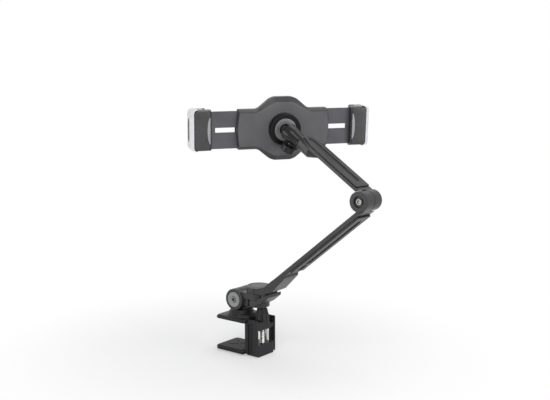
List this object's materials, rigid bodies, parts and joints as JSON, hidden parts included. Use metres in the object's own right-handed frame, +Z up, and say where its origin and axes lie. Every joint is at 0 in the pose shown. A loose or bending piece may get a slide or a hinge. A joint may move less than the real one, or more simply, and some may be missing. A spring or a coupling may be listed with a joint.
{
  "type": "tablet desk stand",
  "caption": "Clamp-on tablet arm: desk clamp, swivel and tilt barrel, folding two-part arm, ball neck and a spring-free sliding holder that grips a tablet by its ends.",
  "frame": {"origin": "on the face of the upper jaw pad that rests on the desk top, under the vertical pan axis", "axes": "+Z up out of the desk, +X away from the desk edge, +Y along the hinge barrels at rest"},
  "size_m": [0.2786, 0.2521, 0.4067],
  "materials": {
    "black_coat": "satin black powder coat",
    "dark_anodised": "black anodised, fine matt",
    "brushed_alloy": "turned and satin",
    "black_plastic": "moulded black plastic, fine grain",
    "grey_plastic": "moulded dark grey plastic, fine grain",
    "gloss_black": "moulded black plastic, half gloss",
    "white_plastic": "natural nylon",
    "washer_plastic": "low-friction plastic",
    "chrome": "bright chrome plate",
    "steel": "zinc-plated steel",
    "brass": "plain brass",
    "rubber": "soft black rubber"
  },
  "bodies": {
    "clamp": {"clamp_body": "black_coat", "upper_jaw_pad": "rubber", "screw_bridge": "black_coat", "guide_rod": "chrome", "guide_dome_nut": "chrome", "pan_washer": "washer_plastic"},
    "lower_jaw": {"lower_jaw": "black_coat", "lower_jaw_pad": "rubber", "jaw_nut": "brass", "jaw_glides": "washer_plastic"},
    "screw": {"clamp_screw": "chrome", "clamp_knob": "black_plastic"},
    "swivel": {"swivel_base": "dark_anodised", "pan_nut": "steel", "pan_nut_washer": "steel"},
    "barrel": {"tilt_barrel": "dark_anodised", "tilt_end_discs": "brushed_alloy", "tilt_bolt": "steel", "tilt_nut": "steel", "tilt_washers": "washer_plastic"},
    "lower_arm": {"lower_arm": "dark_anodised", "lower_arm_cover": "black_plastic", "fork_lower_ear": "dark_anodised", "swing_cap": "grey_plastic", "swing_bolt": "steel", "swing_nut": "steel", "swing_washers": "washer_plastic", "elbow_bolt": "steel", "elbow_nut": "steel", "elbow_washer": "washer_plastic"},
    "upper_arm": {"upper_arm": "dark_anodised", "upper_arm_cover": "black_plastic"},
    "neck": {"neck_head": "dark_anodised"},
    "lock": {"lock_knob": "black_plastic", "lock_screw": "steel"},
    "ball_yoke": {"ball_seat": "washer_plastic"},
    "stud": {"ball_stud": "steel"},
    "holder": {"holder_cover": "grey_plastic", "collar_ring": "grey_plastic", "turn_washers": "washer_plastic", "holder_front": "grey_plastic", "front_pads": "rubber", "cover_screws": "steel"},
    "left_slide": {"left_plate": "dark_anodised", "left_rack": "white_plastic", "left_grip": "gloss_black", "left_grip_pad": "rubber"},
    "right_slide": {"right_plate": "dark_anodised", "right_rack": "white_plastic", "right_grip": "gloss_black", "right_grip_pad": "rubber"},
    "pinion": {"pinion": "white_plastic"}
  },
  "joints": [
    {"name": "screw_turn", "type": "hinge", "parent": "clamp", "child": "screw", "pos_m": [0.042, 0, 0], "axis": [0, 0, -1], "range_deg": [0, 6340]},
    {"name": "jaw_slide", "type": "slide", "parent": "clamp", "child": "lower_jaw", "axis": [0, 0, 1], "range_m": [0, 0.022]},
    {"name": "base_pan", "type": "hinge", "parent": "clamp", "child": "swivel", "pos_m": [0, 0, 0.0343], "axis": [0, 0, 1], "continuous": true},
    {"name": "base_tilt", "type": "hinge", "parent": "swivel", "child": "barrel", "pos_m": [0, 0, 0.0343], "axis": [0, -1, 0], "range_deg": [0, 95]},
    {"name": "arm_swing", "type": "hinge", "parent": "barrel", "child": "lower_arm", "pos_m": [0.0355, 0, 0.0485], "axis": [0, 0, 1], "range_deg": [-55, 55]},
    {"name": "elbow", "type": "hinge", "parent": "lower_arm", "child": "upper_arm", "pos_m": [0.2296, 0, 0.2077], "axis": [0, 1, 0], "range_deg": [-45, 106]},
    {"name": "neck_roll", "type": "hinge", "parent": "upper_arm", "child": "neck", "pos_m": [0.11721, 0, 0.28552], "axis": [-0.8221, 0, 0.5693], "continuous": true},
    {"name": "lock_turn", "type": "hinge", "parent": "neck", "child": "lock", "pos_m": [0.10521, 0, 0.29383], "axis": [-0.5693, 0, -0.8221], "range_deg": [-540, 0]},
    {"name": "ball_pan", "type": "hinge", "parent": "neck", "child": "ball_yoke", "pos_m": [0.0937, 0, 0.3018], "axis": [0.5693, 0, 0.8221], "range_deg": [-3.2, 76.8]},
    {"name": "ball_tilt", "type": "hinge", "parent": "ball_yoke", "child": "stud", "pos_m": [0.0937, 0, 0.3018], "axis": [0.493, 0.8003, -0.3414], "range_deg": [-2.8, 45.2]},
    {"name": "holder_turn", "type": "hinge", "parent": "stud", "child": "holder", "pos_m": [0.08305, 0.00727, 0.30345], "axis": [-0.8194, 0.559, 0.1271], "continuous": true},
    {"name": "left_grip_slide", "type": "slide", "parent": "holder", "child": "left_slide", "axis": [-0.5658, -0.8243, -0.0225], "range_m": [-0.035, 0.012]},
    {"name": "right_grip_slide", "type": "slide", "parent": "holder", "child": "right_slide", "axis": [0.5658, 0.8243, 0.0225], "range_m": [-0.035, 0.012]},
    {"name": "pinion_turn", "type": "hinge", "parent": "holder", "child": "pinion", "pos_m": [0.06699, 0.01822, 0.30594], "axis": [-0.8194, 0.559, 0.1271], "range_deg": [-225, 78]}
  ],
  "couplings": [
    {"joint": "screw_turn", "follows": "jaw_slide", "rad_per_m": 5026.5},
    {"joint": "right_grip_slide", "follows": "left_grip_slide", "ratio": 1},
    {"joint": "pinion_turn", "follows": "left_grip_slide", "rad_per_m": 111.11}
  ]
}
